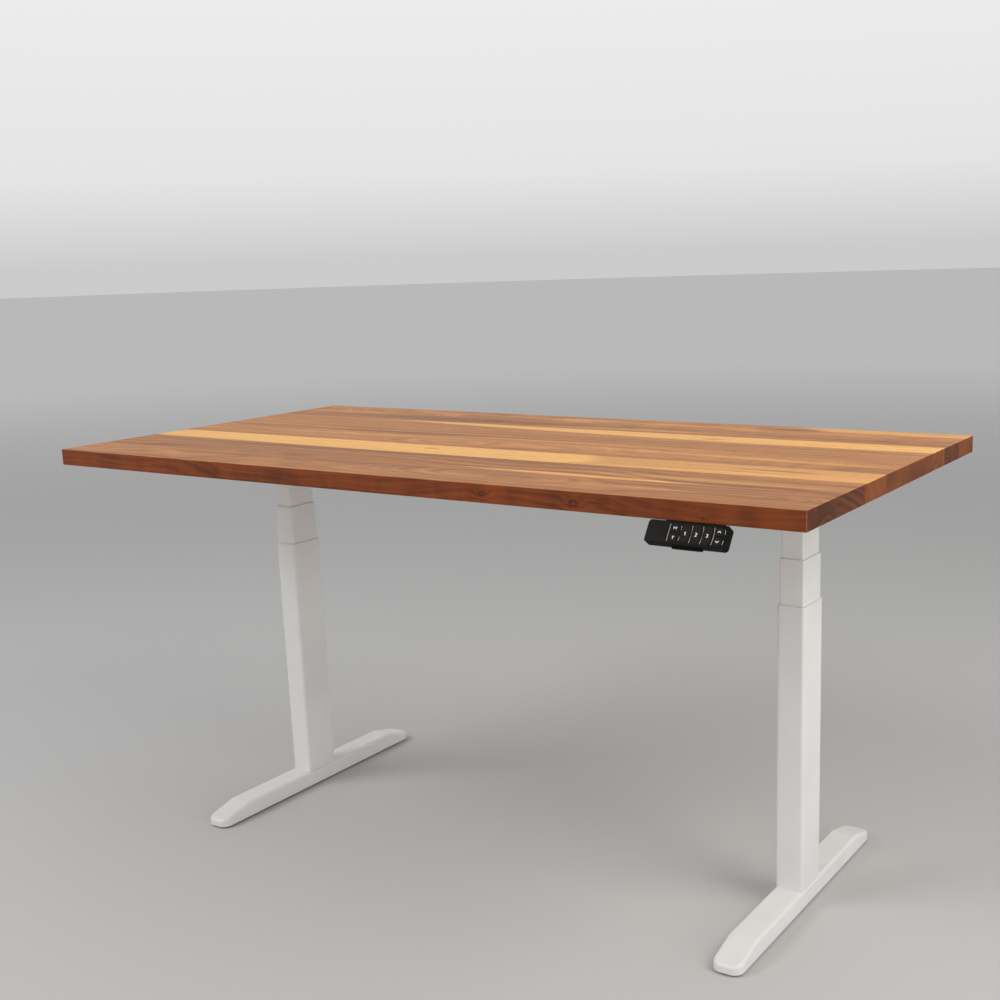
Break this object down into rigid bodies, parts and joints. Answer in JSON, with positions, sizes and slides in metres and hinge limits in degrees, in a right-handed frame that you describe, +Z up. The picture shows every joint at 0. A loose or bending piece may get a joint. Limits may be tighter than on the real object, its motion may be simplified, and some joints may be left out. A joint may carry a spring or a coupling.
{
  "type": "height adjustable standing desk",
  "caption": "Sit-stand desk with an oiled wooden top on two motorised three-stage lifting columns, long feet and a keypad under the front edge.",
  "frame": {"origin": "on the floor, under the middle of the whole desk's box", "axes": "+Z up, +X to the right of the person at the desk, -Y towards that person"},
  "size_m": [1.524, 0.784, 0.792],
  "materials": {
    "frame_paint": "satin powder coat",
    "glide_rubber": "matte",
    "liner_plastic": "satin",
    "spindle_steel": "turned",
    "nut_plastic": "matte",
    "motor_black": "satin",
    "lead_rubber": "matte",
    "zinc_screws": "zinc plated",
    "walnut": "oiled",
    "box_plastic": "fine texture",
    "inlet_plastic": "matte",
    "keypad_shell": "fine texture",
    "keypad_gloss": "gloss",
    "board_green": "satin",
    "button_matte": "satin rubber-coated"
  },
  "bodies": {
    "base": {"foot_screws": "zinc_screws", "column_base_plates": "spindle_steel", "outer_column_liners": "liner_plastic", "base_spindles": "spindle_steel", "left_foot": "frame_paint", "left_outer_column": "frame_paint", "right_foot": "frame_paint", "right_outer_column": "frame_paint"},
    "desktop": {"desktop_panel": "walnut", "desktop_screws": "zinc_screws", "centre_rails": "frame_paint", "side_rails": "frame_paint", "rail_screws": "zinc_screws", "control_box": "box_plastic", "control_box_inlet": "inlet_plastic", "keypad_lead": "lead_rubber", "lead_clips": "box_plastic", "keypad_housing": "keypad_shell", "keypad_face": "keypad_gloss", "keypad_board": "board_green", "inner_column_liners": "liner_plastic", "lift_tubes": "spindle_steel", "lift_nuts": "nut_plastic", "left_inner_column": "frame_paint", "left_gearbox_housing": "frame_paint", "left_motor_can": "motor_black", "left_side_bracket": "frame_paint", "left_motor_lead": "lead_rubber", "right_inner_column": "frame_paint", "right_gearbox_housing": "frame_paint", "right_motor_can": "motor_black", "right_side_bracket": "frame_paint", "right_motor_lead": "lead_rubber"},
    "left_middle": {"left_middle_column": "frame_paint", "left_middle_liners": "liner_plastic", "left_spindle_bearing": "spindle_steel"},
    "left_lift_spindle": {"left_lift_spindle": "spindle_steel", "left_lower_nut": "nut_plastic"},
    "left_drive_shaft": {"left_drive_shaft": "spindle_steel", "left_worm_wheel": "nut_plastic"},
    "left_motor_worm": {"left_motor_worm": "spindle_steel"},
    "left_front_glide": {"left_front_glide": "glide_rubber"},
    "left_rear_glide": {"left_rear_glide": "glide_rubber"},
    "right_middle": {"right_middle_column": "frame_paint", "right_middle_liners": "liner_plastic", "right_spindle_bearing": "spindle_steel"},
    "right_lift_spindle": {"right_lift_spindle": "spindle_steel", "right_lower_nut": "nut_plastic"},
    "right_drive_shaft": {"right_drive_shaft": "spindle_steel", "right_worm_wheel": "nut_plastic"},
    "right_motor_worm": {"right_motor_worm": "spindle_steel"},
    "right_front_glide": {"right_front_glide": "glide_rubber"},
    "right_rear_glide": {"right_rear_glide": "glide_rubber"},
    "button_memory": {"button_memory": "button_matte"},
    "button_timer": {"button_timer": "button_matte"},
    "button_one": {"button_one": "button_matte"},
    "button_two": {"button_two": "button_matte"},
    "button_three": {"button_three": "button_matte"},
    "button_up": {"button_up": "button_matte"},
    "button_down": {"button_down": "button_matte"}
  },
  "joints": [
    {"name": "desk_lift", "type": "slide", "parent": "base", "child": "desktop", "axis": [0, 0, 1], "range_m": [-0.145, 0.505]},
    {"name": "left_middle_slide", "type": "slide", "parent": "base", "child": "left_middle", "axis": [0, 0, 1], "range_m": [-0.0725, 0.2525]},
    {"name": "left_lift_spindle_turn", "type": "hinge", "parent": "left_middle", "child": "left_lift_spindle", "pos_m": [-0.576, 0.0545, 0.13], "axis": [0, 0, 1], "range_deg": [-4352.2, 15157.6]},
    {"name": "left_drive_shaft_turn", "type": "hinge", "parent": "desktop", "child": "left_drive_shaft", "pos_m": [-0.576, 0.0545, 0.73], "axis": [0, 0, 1], "range_deg": [-4352.2, 15157.6]},
    {"name": "left_motor_worm_turn", "type": "hinge", "parent": "desktop", "child": "left_motor_worm", "pos_m": [-0.556, 0.0305, 0.73], "axis": [1, 0, 0], "range_deg": [-87043.5, 303151.5]},
    {"name": "left_front_glide_turn", "type": "hinge", "parent": "base", "child": "left_front_glide", "pos_m": [-0.576, -0.2005, 0.01], "axis": [0, 0, 1], "continuous": true},
    {"name": "left_rear_glide_turn", "type": "hinge", "parent": "base", "child": "left_rear_glide", "pos_m": [-0.576, 0.3095, 0.01], "axis": [0, 0, 1], "continuous": true},
    {"name": "right_middle_slide", "type": "slide", "parent": "base", "child": "right_middle", "axis": [0, 0, 1], "range_m": [-0.0725, 0.2525]},
    {"name": "right_lift_spindle_turn", "type": "hinge", "parent": "right_middle", "child": "right_lift_spindle", "pos_m": [0.576, 0.0545, 0.13], "axis": [0, 0, 1], "range_deg": [-4352.2, 15157.6]},
    {"name": "right_drive_shaft_turn", "type": "hinge", "parent": "desktop", "child": "right_drive_shaft", "pos_m": [0.576, 0.0545, 0.73], "axis": [0, 0, 1], "range_deg": [-4352.2, 15157.6]},
    {"name": "right_motor_worm_turn", "type": "hinge", "parent": "desktop", "child": "right_motor_worm", "pos_m": [0.556, 0.0305, 0.73], "axis": [1, 0, 0], "range_deg": [-87043.5, 303151.5]},
    {"name": "right_front_glide_turn", "type": "hinge", "parent": "base", "child": "right_front_glide", "pos_m": [0.576, -0.2005, 0.01], "axis": [0, 0, 1], "continuous": true},
    {"name": "right_rear_glide_turn", "type": "hinge", "parent": "base", "child": "right_rear_glide", "pos_m": [0.576, 0.3095, 0.01], "axis": [0, 0, 1], "continuous": true},
    {"name": "button_memory_press", "type": "slide", "parent": "desktop", "child": "button_memory", "axis": [0, 0.8192, -0.5736], "range_m": [0, 0.0008], "stiffness_N_per_m": 1500, "springref_m": -0.0004},
    {"name": "button_timer_press", "type": "slide", "parent": "desktop", "child": "button_timer", "axis": [0, 0.8192, -0.5736], "range_m": [0, 0.0008], "stiffness_N_per_m": 1500, "springref_m": -0.0004},
    {"name": "button_one_press", "type": "slide", "parent": "desktop", "child": "button_one", "axis": [0, 0.8192, -0.5736], "range_m": [0, 0.0008], "stiffness_N_per_m": 1500, "springref_m": -0.0004},
    {"name": "button_two_press", "type": "slide", "parent": "desktop", "child": "button_two", "axis": [0, 0.8192, -0.5736], "range_m": [0, 0.0008], "stiffness_N_per_m": 1500, "springref_m": -0.0004},
    {"name": "button_three_press", "type": "slide", "parent": "desktop", "child": "button_three", "axis": [0, 0.8192, -0.5736], "range_m": [0, 0.0008], "stiffness_N_per_m": 1500, "springref_m": -0.0004},
    {"name": "button_up_press", "type": "slide", "parent": "desktop", "child": "button_up", "axis": [0, 0.8192, -0.5736], "range_m": [0, 0.0008], "stiffness_N_per_m": 1500, "springref_m": -0.0004},
    {"name": "button_down_press", "type": "slide", "parent": "desktop", "child": "button_down", "axis": [0, 0.8192, -0.5736], "range_m": [0, 0.0008], "stiffness_N_per_m": 1500, "springref_m": -0.0004}
  ],
  "couplings": [
    {"joint": "left_middle_slide", "follows": "desk_lift", "ratio": 0.5},
    {"joint": "left_lift_spindle_turn", "follows": "desk_lift", "rad_per_m": 523.6},
    {"joint": "left_drive_shaft_turn", "follows": "desk_lift", "rad_per_m": 523.6},
    {"joint": "left_motor_worm_turn", "follows": "desk_lift", "rad_per_m": 10472},
    {"joint": "right_middle_slide", "follows": "desk_lift", "ratio": 0.5},
    {"joint": "right_lift_spindle_turn", "follows": "desk_lift", "rad_per_m": 523.6},
    {"joint": "right_drive_shaft_turn", "follows": "desk_lift", "rad_per_m": 523.6},
    {"joint": "right_motor_worm_turn", "follows": "desk_lift", "rad_per_m": 10472}
  ]
}
